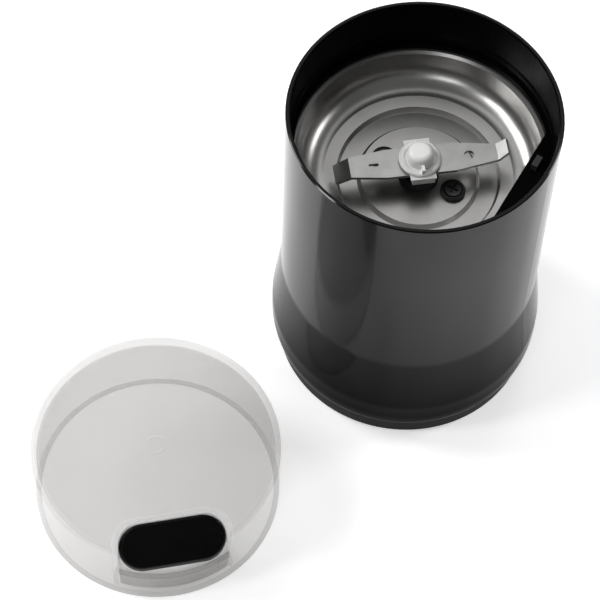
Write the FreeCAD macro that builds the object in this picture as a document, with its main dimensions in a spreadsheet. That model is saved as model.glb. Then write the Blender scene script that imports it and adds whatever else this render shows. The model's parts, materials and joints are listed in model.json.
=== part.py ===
import FreeCAD, Part
import math
import os
import Sketcher

# Electric spice grinder with its clear lid standing beside it.
# Millimetres. The origin is on the grinder's axis at the floor, Z is up.
# Fixed pieces are drawn with +X toward the lid switch and turned into place,
# lid pieces are drawn with +X toward the button and set down beside the body.

os.makedirs("parts", exist_ok=True)
doc = FreeCAD.newDocument("spice_grinder")
sheet = doc.addObject("Spreadsheet::Sheet", "Sizes")
V = FreeCAD.Vector
UP = V(0, 0, 1)
pieces = []
rows = []


class Size:
    """A number together with the spreadsheet expression that it comes from."""

    def __init__(self, value, text):
        self.value = float(value)
        self.text = text

    def __add__(self, other):
        other = as_size(other)
        return Size(self.value + other.value, f"({self.text} + {other.text})")

    def __radd__(self, other):
        return as_size(other) + self

    def __sub__(self, other):
        other = as_size(other)
        return Size(self.value - other.value, f"({self.text} - {other.text})")

    def __rsub__(self, other):
        return as_size(other) - self

    def __mul__(self, other):
        other = as_size(other)
        return Size(self.value * other.value, f"({self.text} * {other.text})")

    def __rmul__(self, other):
        return as_size(other) * self

    def __truediv__(self, other):
        other = as_size(other)
        return Size(self.value / other.value, f"({self.text} / {other.text})")

    def __neg__(self):
        return Size(-self.value, f"(-1 * {self.text})")

    def __abs__(self):
        return self if self.value >= 0 else -self


def as_size(number):
    if isinstance(number, Size):
        return number
    return Size(number, f"{number:g}" if number >= 0 else f"({number:g})")


def size(name, value):
    """Adds one row to the spreadsheet and gives it back as a Size."""
    rows.append(name)
    cell = f"B{len(rows)}"
    sheet.set(f"A{len(rows)}", name)
    sheet.set(cell, f"{value:g}")
    sheet.setAlias(cell, name)
    return Size(value, f"Sizes.{name}")


def half_chord(radius, reach):
    """Half the length of a circle's chord at a distance from its centre."""
    radius = as_size(radius)
    reach = as_size(reach)
    value = math.sqrt(radius.value ** 2 - reach.value ** 2)
    return Size(value, f"sqrt({radius.text} ^ 2 - {reach.text} ^ 2)")


def tangent(angle):
    angle = as_size(angle)
    return Size(math.tan(math.radians(angle.value)), f"tan({angle.text} * 1 deg)")


# Sketch shapes

def disc(x, y, radius):
    return ("disc", (x, y, radius))


def path(*points):
    """A closed outline. A third number on a point bends the side arriving there:
    an arc of that radius, turning left when positive and right when negative."""
    return ("path", points)


def box(left, right, front, back):
    return path((left, front), (right, front), (right, back), (left, back))


def rounded(left, right, front, back, corner):
    """A rectangle with round corners."""
    a = as_size(left) + corner
    b = as_size(right) - corner
    c = as_size(front) + corner
    d = as_size(back) - corner
    return path((a, front, corner), (b, front), (right, c, corner), (right, d),
                (b, back, corner), (a, back), (left, d, corner), (left, c))


def around(radius, degrees):
    """The point at a radius and an angle from +X."""
    radius = as_size(radius)
    degrees = as_size(degrees)
    turn = math.radians(degrees.value)
    x = Size(radius.value * math.cos(turn), f"({radius.text} * cos({degrees.text} * 1 deg))")
    y = Size(radius.value * math.sin(turn), f"({radius.text} * sin({degrees.text} * 1 deg))")
    return x, y


def centred(x, y, length, width):
    x = as_size(x)
    y = as_size(y)
    return box(x - length / 2, x + length / 2, y - width / 2, y + width / 2)


def stadium(x, y, length, width):
    """A slot outline, round at both ends, long along X."""
    reach = (length - width) / 2
    half = width / 2
    left = as_size(x) - reach
    right = as_size(x) + reach
    low = as_size(y) - half
    high = as_size(y) + half
    return path((left, low, half), (right, low), (right, high, half), (left, high))


def slot_end(near, reach, half, corner):
    """An opening across Y, square at the far end and rounded at the near one."""
    return path((near + corner, -half, corner), (reach, -half), (reach, half), (near + corner, half),
                (near, half - corner, corner), (near, corner - half))


def sector(chord, radius):
    """The part of a disc beyond a straight chord, on the +X side."""
    half = half_chord(radius, chord)
    return path((chord, -half, -as_size(radius)), (chord, half))


def arc_between(start, end, radius):
    """Part.ArcOfCircle from start to end, and whether it keeps that direction."""
    chord = end - start
    middle = (start + end) * 0.5
    lift = math.sqrt(max(radius ** 2 - (chord.Length / 2) ** 2, 0))
    left = V(-chord.y, chord.x, 0).normalize()
    centre = middle + left * (lift if radius > 0 else -lift)
    first, last = (start, end) if radius > 0 else (end, start)
    a = math.atan2(first.y - centre.y, first.x - centre.x)
    b = math.atan2(last.y - centre.y, last.x - centre.x)
    if b <= a:
        b += 2 * math.pi
    return Part.ArcOfCircle(Part.Circle(centre, UP, abs(radius)), a, b), radius > 0


def fix_point(sketch, geometry, end, x, y):
    """Ties one point of the sketch to its two coordinates."""
    for number, kind, axis in ((x, "DistanceX", -2), (y, "DistanceY", -1)):
        number = as_size(number)
        if number.text == "0":
            sketch.addConstraint(Sketcher.Constraint("PointOnObject", geometry, end, axis))
            continue
        rule = Sketcher.Constraint(kind, -1, 1, geometry, end, number.value)
        tie(sketch, sketch.addConstraint(rule), number)


def tie(sketch, index, number):
    if "Sizes" in number.text:
        sketch.setExpression(f"Constraints[{index}]", number.text)


def draw_disc(sketch, x, y, radius):
    radius = as_size(radius)
    centre = V(as_size(x).value, as_size(y).value, 0)
    ring = sketch.addGeometry(Part.Circle(centre, UP, radius.value), False)
    fix_point(sketch, ring, 3, x, y)
    tie(sketch, sketch.addConstraint(Sketcher.Constraint("Radius", ring, radius.value)), radius)


def bend_side(sketch, side, bend, start, end, corner):
    """Fixes an arc by its radius, or a half circle by its centre."""
    if (end - start).Length < 1.9999 * abs(bend.value):
        rule = Sketcher.Constraint("Radius", side, abs(bend.value))
        tie(sketch, sketch.addConstraint(rule), abs(bend))
        return
    across = abs(end.x - start.x) < abs(end.y - start.y)
    number = corner[0] if across else corner[1]
    kind = "DistanceX" if across else "DistanceY"
    rule = Sketcher.Constraint(kind, -1, 1, side, 3, number.value)
    tie(sketch, sketch.addConstraint(rule), number)


def draw_path(sketch, points):
    corners = [(as_size(p[0]), as_size(p[1])) for p in points]
    spots = [V(x.value, y.value, 0) for x, y in corners]
    sides = []
    for i in range(len(points)):
        nxt = (i + 1) % len(points)
        if len(points[nxt]) == 3:
            bend = as_size(points[nxt][2])
            curve, forward = arc_between(spots[i], spots[nxt], bend.value)
            side = sketch.addGeometry(curve, False)
            sides.append((side, 1, 2) if forward else (side, 2, 1))
            bend_side(sketch, side, bend, spots[i], spots[nxt], corners[i])
        else:
            side = sketch.addGeometry(Part.LineSegment(spots[i], spots[nxt]), False)
            sides.append((side, 1, 2))
    for i, (side, start, end) in enumerate(sides):
        after = sides[(i + 1) % len(sides)]
        sketch.addConstraint(Sketcher.Constraint("Coincident", side, end, after[0], after[1]))
        fix_point(sketch, side, start, *corners[i])


def origin_feature(body, role):
    return next(f for f in body.Origin.OriginFeatures if f.Role == role)


def sketch_on(body, name, shapes, plane, offset):
    offset = as_size(offset)
    sketch = body.newObject("Sketcher::SketchObject", name)
    sketch.AttachmentSupport = [(origin_feature(body, plane), "")]
    sketch.MapMode = "FlatFace"
    sketch.AttachmentOffset = FreeCAD.Placement(V(0, 0, offset.value), FreeCAD.Rotation())
    sketch.setExpression("AttachmentOffset.Base.z", offset.text)
    for kind, numbers in shapes:
        if kind == "disc":
            draw_disc(sketch, *numbers)
        else:
            draw_path(sketch, numbers)
    return sketch


# Features

def new_body(label):
    body = doc.addObject("PartDesign::Body", label)
    body.Label = label
    body.AllowCompound = True
    pieces.append(body)
    return body


def feature(body, kind, name, sketch):
    item = body.newObject(f"PartDesign::{kind}", name)
    item.Profile = sketch
    sketch.Visibility = False
    return item


def turned(body, kind, name, shapes, axis_x):
    sketch = sketch_on(body, f"{name}_sketch", shapes, "XZ_Plane", 0)
    item = feature(body, kind, name, sketch)
    if axis_x is None:
        item.ReferenceAxis = (sketch, ["V_Axis"])
    else:
        axis_x = as_size(axis_x)
        line = Part.LineSegment(V(axis_x.value, 0, 0), V(axis_x.value, 10, 0))
        spine = sketch.addGeometry(line, True)
        fix_point(sketch, spine, 1, axis_x, 0)
        fix_point(sketch, spine, 2, axis_x, 10)
        item.ReferenceAxis = (sketch, ["Axis0"])
    item.Angle = 360
    return item


def revolve(body, name, points, axis_x=None):
    return turned(body, "Revolution", name, [path(*points)], axis_x)


def pad(body, name, low, high, shapes, plane="XY_Plane"):
    """Material between two levels, measured along the plane's own world axis."""
    start = -as_size(high) if plane == "XZ_Plane" else low
    item = feature(body, "Pad", name, sketch_on(body, f"{name}_sketch", shapes, plane, start))
    return set_length(item, as_size(high) - low)


def pocket(body, name, low, high, shapes, plane="XY_Plane"):
    """Takes material away between two levels."""
    start = -as_size(low) if plane == "XZ_Plane" else high
    item = feature(body, "Pocket", name, sketch_on(body, f"{name}_sketch", shapes, plane, start))
    return set_length(item, as_size(high) - low)


def radial_hole(body, name, angle, height, radius):
    """A round hole outward from the axis through the wall at an angle."""
    sketch = sketch_on(body, f"{name}_sketch", [disc(0, height, radius)], "YZ_Plane", 0)
    sketch.AttachmentOffset = FreeCAD.Placement(V(), FreeCAD.Rotation(V(0, 1, 0), angle.value))
    sketch.setExpression("AttachmentOffset.Rotation.Angle", f"{angle.text} * 1 deg")
    item = feature(body, "Pocket", name, sketch)
    item.Reversed = True
    return set_length(item, as_size(60))


def turned_level(body, name, points, height):
    """A revolution about a level line along X."""
    sketch = sketch_on(body, f"{name}_sketch", [path(*points)], "XZ_Plane", 0)
    height = as_size(height)
    line = Part.LineSegment(V(0, height.value, 0), V(10, height.value, 0))
    spine = sketch.addGeometry(line, True)
    fix_point(sketch, spine, 1, 0, height)
    fix_point(sketch, spine, 2, 10, height)
    item = feature(body, "Revolution", name, sketch)
    item.ReferenceAxis = (sketch, ["Axis0"])
    item.Angle = 360
    return item


def coil_spring(body, name, x, y, radius, wire, low, high, turns):
    """A compression spring of square wire standing at x, y."""
    x = as_size(x)
    reach = x + radius
    shapes = [box(reach - wire, reach + wire, low, as_size(low) + wire * 2)]
    sketch = sketch_on(body, f"{name}_wire", shapes, "XZ_Plane", -as_size(y))
    line = Part.LineSegment(V(x.value, 0, 0), V(x.value, 10, 0))
    spine = sketch.addGeometry(line, True)
    fix_point(sketch, spine, 1, x, 0)
    fix_point(sketch, spine, 2, x, 10)
    item = feature(body, "AdditiveHelix", name, sketch)
    item.ReferenceAxis = (sketch, ["Axis0"])
    item.Mode = "height-turns-angle"
    height = as_size(high) - low - as_size(wire) * 2
    item.Height = height.value
    item.setExpression("Height", height.text)
    item.Turns = turns
    return item


def set_length(item, length):
    item.Type = "Length"
    item.Length = length.value
    item.setExpression("Length", length.text)
    return item


def polar(body, name, items, count):
    ring = body.newObject("PartDesign::PolarPattern", name)
    ring.Originals = items if isinstance(items, list) else [items]
    ring.Axis = (origin_feature(body, "Z_Axis"), [""])
    ring.Angle = 360
    ring.Occurrences = count
    body.Tip = ring
    return ring


def mirror(body, name, items, plane):
    twin = body.newObject("PartDesign::Mirrored", name)
    twin.Originals = items if isinstance(items, list) else [items]
    twin.MirrorPlane = (origin_feature(body, plane), [""])
    body.Tip = twin
    return twin


def round_edges(body, name, base, radius, chosen, kind="Fillet"):
    """Rounds or bevels the edges of a feature that a test picks."""
    doc.recompute()
    found = [f"Edge{i + 1}" for i, edge in enumerate(base.Shape.Edges) if chosen(edge)]
    if not found:
        raise ValueError(f"no edges for {name}")
    radius = as_size(radius)
    item = body.newObject(f"PartDesign::{kind}", name)
    item.Base = (base, found)
    length = "Radius" if kind == "Fillet" else "Size"
    setattr(item, length, radius.value)
    item.setExpression(length, radius.text)
    return item


def place(item, angle, x=0, y=0):
    """Turns a piece about the vertical and sets it down at x, y."""
    angle = as_size(angle)
    x = as_size(x)
    y = as_size(y)
    item.Placement = FreeCAD.Placement(V(x.value, y.value, 0), FreeCAD.Rotation(UP, angle.value))
    item.setExpression("Placement.Base.x", x.text)
    item.setExpression("Placement.Base.y", y.text)
    item.setExpression("Placement.Rotation.Angle", f"({angle.text}) * 1 deg")
    return item


def screw(body, name, radius, seat, tip, axis_x, head_radius, head_height):
    """A screw with its head under the seat and its tip above, or the reverse."""
    seat = as_size(seat)
    rising = as_size(tip).value > seat.value
    top = seat - head_height if rising else seat + head_height
    axis_x = as_size(axis_x)
    return revolve(body, name, [
        (axis_x, top), (axis_x + head_radius, top), (axis_x + head_radius, seat),
        (axis_x + radius, seat), (axis_x + radius, tip), (axis_x, tip)], axis_x)


# Shared sizes

body_height = size("body_height", 128.9)
rim_radius = size("rim_radius", 43)
wall = size("wall_thickness", 2.05)
switch_turn = size("switch_turn", -27)
blade_turn = size("blade_turn", 10.6)
lid_turn = size("lid_turn", -77)
lid_x = size("lid_x", -80.6)
lid_y = size("lid_y", -67.4)
seat_gap = size("seat_gap", 0.1)
slide_gap = size("slide_gap", 0.2)
run_gap = size("running_gap", 0.05)
screw_radius = size("screw_radius", 1.4)
pilot_radius = screw_radius + run_gap
through_radius = screw_radius + slide_gap
head_radius = size("screw_head_radius", 2.7)
head_height = size("screw_head_height", 1.8)

# Housing, one glossy moulding: flared barrel, collar ledges and switch platform

skirt_radius = rim_radius - size("barrel_draft", 0.25)
skirt_z = size("skirt_z", 46.6)
flare_radius = skirt_radius + size("flare_start", 0.12)
flare_z = size("flare_z", 44.4)
foot_radius = skirt_radius + size("flare_growth", 2.65)
side_radius = foot_radius - size("side_draw", 0.13)
side_z = size("side_z", 22.3)
foot_z = size("foot_z", 20)
low_z = size("foot_low_z", 15)
heel_radius = foot_radius - size("heel_draw", 0.4)
heel_z = size("heel_z", 11.1)
toe_radius = foot_radius - size("toe_draw", 2.8)
toe_z = size("toe_z", 8)
flare_bend = size("flare_bend", 20)
heel_bend = size("heel_bend", 4.4)
inner_radius = rim_radius - wall
collar_radius = inner_radius + size("collar_step", 0.5)
ledge_z = size("ledge_z", 109.9)
ledge_radius = inner_radius - size("ledge_width", 1.05)
step_z = size("step_z", 113.7)
ledge_thick = size("ledge_thickness", 2.2)
platform_chord = ledge_radius - size("platform_depth", 8.6)
slot_x = ledge_radius - size("slot_inset", 5.8)
slot_y = size("slot_y", 12.5)
plunger_length = size("plunger_length", 4.2)
plunger_width = size("plunger_width", 2)
ear_circle = inner_radius - size("ear_inset", 3.95)
ear_radius = size("ear_radius", 4.5)
bracket_z = size("bracket_z", 85)
bracket_top = size("bracket_top", 88)
ear_top = size("ear_boss_top", 94)
base_screw_circle = toe_radius - size("base_screw_inset", 6.2)
base_boss_radius = size("base_boss_radius", 3.8)
base_seat_z = size("base_seat_z", 10.2)
base_boss_top = size("base_boss_top", 18.4)
cord_angle = size("cord_turn", 117)
cord_z = size("cord_z", 18)
cord_hole = size("cord_hole_radius", 4.5)
switch_screw_x = slot_x + size("switch_screw_offset", 0.7)
switch_screw_back = size("switch_screw_back", 17.2)
switch_screw_front = size("switch_screw_front", -15.5)
switch_boss = size("switch_boss_radius", 2.2)
switch_plate_top = size("switch_plate_top", 86.5)
small_screw = size("small_screw_radius", 1.1)

ledge_bottom = ledge_z - ledge_thick
housing = new_body("housing_shell")
revolve(housing, "barrel", [
    (rim_radius, body_height - 0.3), (rim_radius - 0.4, body_height), (collar_radius + 0.3, body_height),
    (collar_radius, body_height - 0.6), (collar_radius, step_z), (inner_radius, step_z - 0.5),
    (inner_radius, ledge_z), (ledge_radius, ledge_z), (ledge_radius, ledge_bottom),
    (inner_radius, ledge_bottom), (inner_radius, skirt_z), (foot_radius - wall, foot_z),
    (foot_radius - wall, low_z), (heel_radius - wall, heel_z + 0.4), (toe_radius - wall, toe_z, -heel_bend),
    (toe_radius, toe_z), (heel_radius, heel_z, heel_bend), (foot_radius, low_z, flare_bend),
    (foot_radius, foot_z), (side_radius, side_z, flare_bend), (flare_radius, flare_z),
    (skirt_radius, skirt_z, -flare_bend)])
pad(housing, "platform", ledge_bottom, ledge_z, [sector(platform_chord, inner_radius + 0.8)])
pad(housing, "switch_bosses", switch_plate_top, ledge_bottom, [
    disc(switch_screw_x, switch_screw_back, switch_boss),
    disc(switch_screw_x, switch_screw_front, switch_boss)])
ear = pad(housing, "ear_boss", bracket_top, ear_top, [disc(-ear_circle, 0, ear_radius)])
polar(housing, "ear_bosses", ear, 3)
rib = pad(housing, "base_boss", base_seat_z, base_boss_top, [disc(0, -base_screw_circle, base_boss_radius)])
web = pad(housing, "base_boss_web", base_seat_z, base_boss_top,
          [box(-1.5, 1.5, 1.4 - heel_radius, -base_screw_circle)])
polar(housing, "base_bosses", [rib, web], 3)
hole = pocket(housing, "ear_pilot", bracket_top, ear_top - 1.2, [disc(-ear_circle, 0, pilot_radius)])
polar(housing, "ear_pilots", hole, 3)
hole = pocket(housing, "base_pilot", base_seat_z, base_boss_top - 2, [disc(0, -base_screw_circle, pilot_radius)])
polar(housing, "base_pilots", hole, 3)
pocket(housing, "switch_pilots", switch_plate_top, switch_plate_top + 9, [
    disc(switch_screw_x, switch_screw_back, small_screw + run_gap),
    disc(switch_screw_x, switch_screw_front, small_screw + run_gap)])
pocket(housing, "plunger_slot", ledge_bottom - 1, ledge_z + 1,
       [centred(slot_x, slot_y, plunger_width + 2 * slide_gap, plunger_length + 2 * slide_gap)])
radial_hole(housing, "cord_hole", cord_angle, cord_z, cord_hole)
place(housing, switch_turn)
doc.recompute()


# Grinding bowl, pressed from sheet steel with one flat side under the platform

sheet_thick = size("bowl_sheet", 0.6)
bowl_chord = platform_chord + size("bowl_chord_gap", 0.6)
flange_z = size("bowl_flange_z", 106.9)
flange_radius = inner_radius - size("flange_gap", 0.25)
bowl_lip = ledge_radius - size("bowl_lip_inset", 1)
bowl_wall = bowl_lip - size("bowl_lip_width", 0.7)
bowl_wall_z = size("bowl_wall_z", 101.5)
bowl_curve = size("bowl_curve", 7.4)
bowl_foot = bowl_wall - size("bowl_curve_reach", 8)
bowl_foot_z = size("bowl_foot_z", 95)
ring_radius = bowl_foot - size("bowl_ring_inset", 4)
ring_z = size("bowl_ring_z", 94.5)
groove_outer = ring_radius - size("bowl_ring_step", 0.9)
groove_inner = size("bowl_groove_inner", 19.6)
groove_z = size("bowl_groove_z", 92.9)
disc_radius = size("bowl_disc_radius", 18.5)
disc_z = size("bowl_disc_z", 94.4)
centre_hole = size("bowl_hole_radius", 5.6)
bowl_screw_circle = size("bowl_screw_circle", 12.4)
grommet_neck = size("grommet_neck_radius", 2.5)
grommet_flange = size("grommet_flange_radius", 4)
grommet_top = size("grommet_flange_height", 1.6)
grommet_seat = size("grommet_seat_height", 0.5)
bowl_head_height = size("bowl_screw_head_height", 1.2)


def bowl_solid(label, grow, chord, top):
    """The bowl's inner volume, grown outward by the sheet thickness."""
    body = new_body(label)
    pieces.remove(body)
    rim = [(bowl_lip + 0.7, top), (0, top)]
    if grow.value:
        rim = [(flange_radius, flange_z - grow), (flange_radius, top), (0, top)]
    revolve(body, f"{label}_turn", [
        (0, disc_z - grow), (disc_radius + grow * 0.5, disc_z - grow),
        (groove_inner + grow * 0.2, groove_z - grow), (groove_outer + grow * 0.5, groove_z - grow),
        (ring_radius + grow * 0.6, ring_z - grow), (bowl_foot + grow * 0.1, bowl_foot_z - grow),
        (bowl_wall + grow, bowl_wall_z - grow * 0.1, bowl_curve + grow),
        (bowl_lip + grow, flange_z - 1 - grow * 0.3), (bowl_lip + 0.7 + grow * 0.6, flange_z - grow),
        *rim])
    pocket(body, f"{label}_flat", groove_z - 3, top + 1, [sector(chord, flange_radius + 3)])
    return body


outside = bowl_solid("bowl_outside", sheet_thick, bowl_chord + sheet_thick, flange_z)
inside = bowl_solid("bowl_inside", as_size(0), bowl_chord, flange_z + 2)
holes = new_body("bowl_holes")
pieces.remove(holes)
pad(holes, "bowl_hole_tools", groove_z - 3, disc_z + 2, [
    disc(0, 0, centre_hole), disc(bowl_screw_circle, 0, grommet_neck + seat_gap),
    disc(-bowl_screw_circle, 0, grommet_neck + seat_gap)])


def cut(label, base, tool):
    """One solid less another, as its own piece."""
    item = doc.addObject("Part::Cut", label)
    item.Label = label
    item.Base = base
    item.Tool = tool
    return item


pressing = cut("bowl_pressing", outside, inside)
bowl = cut("grinding_bowl", pressing, holes)
pieces.append(bowl)
place(bowl, switch_turn)

gasket = new_body("bowl_gasket")
gasket_chord = bowl_chord + sheet_thick
pad(gasket, "gasket_ring", flange_z, ledge_bottom, [
    disc(0, 0, flange_radius), disc(0, 0, ledge_radius)])
pocket(gasket, "gasket_gap", flange_z - 1, ledge_bottom + 1, [sector(gasket_chord, flange_radius + 2)])
pad(gasket, "gasket_straight", flange_z, ledge_bottom, [
    box(bowl_chord, gasket_chord, -half_chord(ledge_radius, bowl_chord), half_chord(ledge_radius, bowl_chord))])
place(gasket, switch_turn)

# Bowl fixing: two grommeted screws into the motor bracket, and the shaft seal

post_top = groove_z - 0.2
screws = new_body("bowl_screws")
bowl_seat = disc_z + grommet_seat
item = screw(screws, "bowl_screw", screw_radius, bowl_seat, bowl_seat - 8.5, bowl_screw_circle,
             head_radius, bowl_head_height)
cross = pocket(screws, "bowl_screw_cross", bowl_seat + 0.5, bowl_seat + head_height + 1, [path(
    (bowl_screw_circle - 1.7, -0.35), (bowl_screw_circle - 0.35, -0.35),
    (bowl_screw_circle - 0.35, -1.7), (bowl_screw_circle + 0.35, -1.7),
    (bowl_screw_circle + 0.35, -0.35), (bowl_screw_circle + 1.7, -0.35),
    (bowl_screw_circle + 1.7, 0.35), (bowl_screw_circle + 0.35, 0.35),
    (bowl_screw_circle + 0.35, 1.7), (bowl_screw_circle - 0.35, 1.7),
    (bowl_screw_circle - 0.35, 0.35), (bowl_screw_circle - 1.7, 0.35))])
polar(screws, "bowl_screw_pair", [item, cross], 2)
place(screws, switch_turn)

grommets = new_body("screw_grommets")
bore = bowl_screw_circle + through_radius
item = revolve(grommets, "grommet", [
    (bore, post_top), (bowl_screw_circle + 4, post_top), (bowl_screw_circle + 4, disc_z - sheet_thick),
    (bowl_screw_circle + grommet_neck, disc_z - sheet_thick), (bowl_screw_circle + grommet_neck, disc_z),
    (bowl_screw_circle + grommet_flange, disc_z), (bowl_screw_circle + grommet_flange, disc_z + grommet_top - 0.5),
    (bowl_screw_circle + grommet_flange - 0.5, disc_z + grommet_top),
    (bowl_screw_circle + head_radius + 0.5, disc_z + grommet_top),
    (bowl_screw_circle + head_radius + seat_gap, disc_z + grommet_top - 0.4),
    (bowl_screw_circle + head_radius + seat_gap, bowl_seat), (bore, bowl_seat)], bowl_screw_circle)
polar(grommets, "grommet_pair", item, 2)
place(grommets, switch_turn)

shaft_radius = size("shaft_radius", 3)
seal_radius = size("seal_radius", 6.5)
seal_top = size("seal_top", 97)
seal = new_body("shaft_seal")
revolve(seal, "seal_turn", [
    (shaft_radius + 0.1, disc_z - sheet_thick - 3), (centre_hole + 1, disc_z - sheet_thick - 3),
    (centre_hole + 1, disc_z - sheet_thick), (centre_hole - seat_gap, disc_z - sheet_thick),
    (centre_hole - seat_gap, disc_z), (seal_radius, disc_z), (seal_radius - 0.2, seal_top - 1),
    (seal_radius - 1.2, seal_top), (shaft_radius + 0.8, seal_top), (shaft_radius + 0.1, seal_top - 1)])

# Motor brackets and bearings

hub_radius = size("hub_radius", 10)
bearing_radius = size("bearing_radius", 7)
bearing_height = size("bearing_height", 7.5)
plate_radius = size("bracket_plate_radius", 31)
core_bottom = size("core_bottom", 42.5)
core_top = size("core_top", 64.5)
bolt_x = size("motor_bolt_x", 25.2)
bolt_y = size("motor_bolt_y", 21.2)
leg_radius = size("bracket_leg_radius", 4)
bolt_radius = size("motor_bolt_radius", 1.5)

upper = new_body("upper_motor_bracket")
hub_bottom = bracket_top - bearing_height - 1
pad(upper, "bracket_plate", bracket_z, bracket_top, [disc(0, 0, plate_radius)])
tab = ear_radius - 1
ear = pad(upper, "bracket_ear", bracket_z, bracket_top, [
    path((-ear_circle, tab), (-ear_circle, -tab, tab), (-20, -9), (-20, 9))])
polar(upper, "bracket_ears", ear, 3)
pad(upper, "bracket_hub", hub_bottom, bracket_top, [disc(0, 0, hub_radius)])
pad(upper, "bowl_posts", bracket_top - 0.5, post_top, [
    disc(bowl_screw_circle, 0, 4), disc(-bowl_screw_circle, 0, 4)])
leg_spots = [(bolt_x, bolt_y), (-bolt_x, -bolt_y)]
pad(upper, "bracket_legs", core_top, bracket_z + 1, [disc(x, y, leg_radius) for x, y in leg_spots])
for number, (x, y) in enumerate(leg_spots):
    pad(upper, f"bracket_lobe_{number}", bracket_z, bracket_top, [disc(x, y, leg_radius + 1)])
pocket(upper, "bearing_pocket", hub_bottom + 1, bracket_top + 1, [disc(0, 0, bearing_radius)])
pocket(upper, "shaft_clearance", hub_bottom - 1, bracket_top, [disc(0, 0, shaft_radius + 1)])
pocket(upper, "bowl_pilots", bracket_top - 2.5, post_top + 1, [
    disc(bowl_screw_circle, 0, pilot_radius), disc(-bowl_screw_circle, 0, pilot_radius)])
hole = pocket(upper, "ear_hole", bracket_z - 1, bracket_top + 1, [disc(-ear_circle, 0, through_radius)])
polar(upper, "ear_holes", hole, 3)
pocket(upper, "cooling_slot", bracket_z - 1, bracket_top + 1, [box(-2.2, 2.2, 15, 26)])
pocket(upper, "cooling_slot_2", bracket_z - 1, bracket_top + 1, [box(-2.2, 2.2, -26, -15)])
pocket(upper, "leg_pilots", core_top - 1, core_top + 12, [disc(x, y, bolt_radius + run_gap) for x, y in leg_spots])
place(upper, switch_turn)

bearing = new_body("upper_bearing")
revolve(bearing, "upper_bearing_ring", [
    (shaft_radius + run_gap, hub_bottom + 1), (bearing_radius, hub_bottom + 1),
    (bearing_radius, bracket_top), (shaft_radius + run_gap, bracket_top)])

screws = new_body("bracket_screws")
item = screw(screws, "bracket_screw", screw_radius, bracket_z, bracket_z + 7, ear_circle,
             head_radius, head_height)
polar(screws, "bracket_screw_set", item, 3)
place(screws, switch_turn + 180)

# Motor: laminated core, field coils, armature, commutator and fan

core_half_x = size("core_half_length", 28)
core_half_y = size("core_half_width", 24)
core_corner = size("core_corner", 3)
core_bore = size("core_bore_radius", 15.3)
coil_inner = size("coil_inner_half_width", 10.4)
coil_outer = size("coil_outer_half_width", 17.2)
coil_near = size("coil_near", 16.4)
coil_far = size("coil_far", 21.9)
coil_rise = size("coil_end_rise", 6)
armature_radius = size("armature_radius", 14.8)
winding_radius = size("winding_radius", 12.8)
slot_count = 12
commutator_radius = size("commutator_radius", 8)
commutator_bottom = size("commutator_bottom", 23.5)
commutator_top = size("commutator_top", 34)
fan_radius = size("fan_radius", 24.5)
fan_bottom = size("fan_bottom", 71.5)
fan_top = size("fan_top", 78.5)

core = new_body("stator_core")
pad(core, "core_outline", core_bottom, core_top, [
    rounded(-core_half_x, core_half_x, -core_half_y, core_half_y, core_corner), disc(0, 0, core_bore)])
windows = []
for sx in (1, -1):
    for sy in (1, -1):
        windows.append(path(
            (sx * (core_bore - 0.3), sy * (coil_inner - 0.8)), (sx * (coil_far + 0.4), sy * (coil_inner - 0.8)),
            (sx * (coil_far + 0.4), sy * (coil_outer + 0.6)), (sx * 7, sy * (coil_outer + 0.6)),
            (sx * 7, sy * 13.9), (sx * 11.2, sy * 13.6)))
pocket(core, "coil_windows", core_bottom - 1, core_top + 1, windows)
pocket(core, "core_bolt_holes", core_bottom - 1, core_top + 1, [
    disc(x, y, bolt_radius + seat_gap) for x, y in leg_spots])
place(core, switch_turn)

coils = new_body("field_coils")
coil = pad(coils, "coil_block", coil_near, coil_far, [
    rounded(-coil_outer, coil_outer, core_bottom - coil_rise, core_top + coil_rise, core_corner),
    box(-coil_inner, coil_inner, core_bottom - 0.4, core_top + 0.4)], "YZ_Plane")
mirror(coils, "coil_pair", coil, "YZ_Plane")
place(coils, switch_turn)

laminations = new_body("armature_core")
pad(laminations, "laminations", core_bottom, core_top, [disc(0, 0, armature_radius), disc(0, 0, shaft_radius)])
slot = pocket(laminations, "winding_slot", core_bottom - 1, core_top + 1, [path(
    (9, -1.3), (winding_radius, -1.7), (winding_radius + 0.6, -0.7), (armature_radius + 1, -0.7),
    (armature_radius + 1, 0.7), (winding_radius + 0.6, 0.7), (winding_radius, 1.7), (9, 1.3))])
polar(laminations, "winding_slots", slot, slot_count)

windings = new_body("armature_windings")
bar = pad(windings, "winding_bar", core_bottom, core_top, [path(
    (9.1, -1.2), (winding_radius - 0.1, -1.55), (winding_radius - 0.1, 1.55), (9.1, 1.2))])
polar(windings, "winding_bars", bar, slot_count)
revolve(windings, "winding_top", [
    (shaft_radius, core_top), (winding_radius, core_top), (winding_radius, core_top + 2.5),
    (winding_radius - 2.5, core_top + 5, 2.6), (shaft_radius + 1.5, core_top + 6), (shaft_radius, core_top + 6)])
revolve(windings, "winding_bottom", [
    (shaft_radius, core_bottom), (shaft_radius, core_bottom - 6), (shaft_radius + 1.5, core_bottom - 6),
    (winding_radius - 2.5, core_bottom - 5), (winding_radius, core_bottom - 2.5, 2.6),
    (winding_radius, core_bottom)])

commutator = new_body("commutator")
revolve(commutator, "commutator_turn", [
    (shaft_radius, commutator_bottom), (commutator_radius, commutator_bottom),
    (commutator_radius, commutator_top - 1.5), (commutator_radius + 1.2, commutator_top - 1.5),
    (commutator_radius + 1.2, commutator_top), (shaft_radius, commutator_top)])
slit = pocket(commutator, "segment_gap", commutator_bottom - 1, commutator_top + 1, [
    box(commutator_radius - 0.8, commutator_radius + 2, -0.2, 0.2)])
polar(commutator, "segment_gaps", slit, slot_count)

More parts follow.
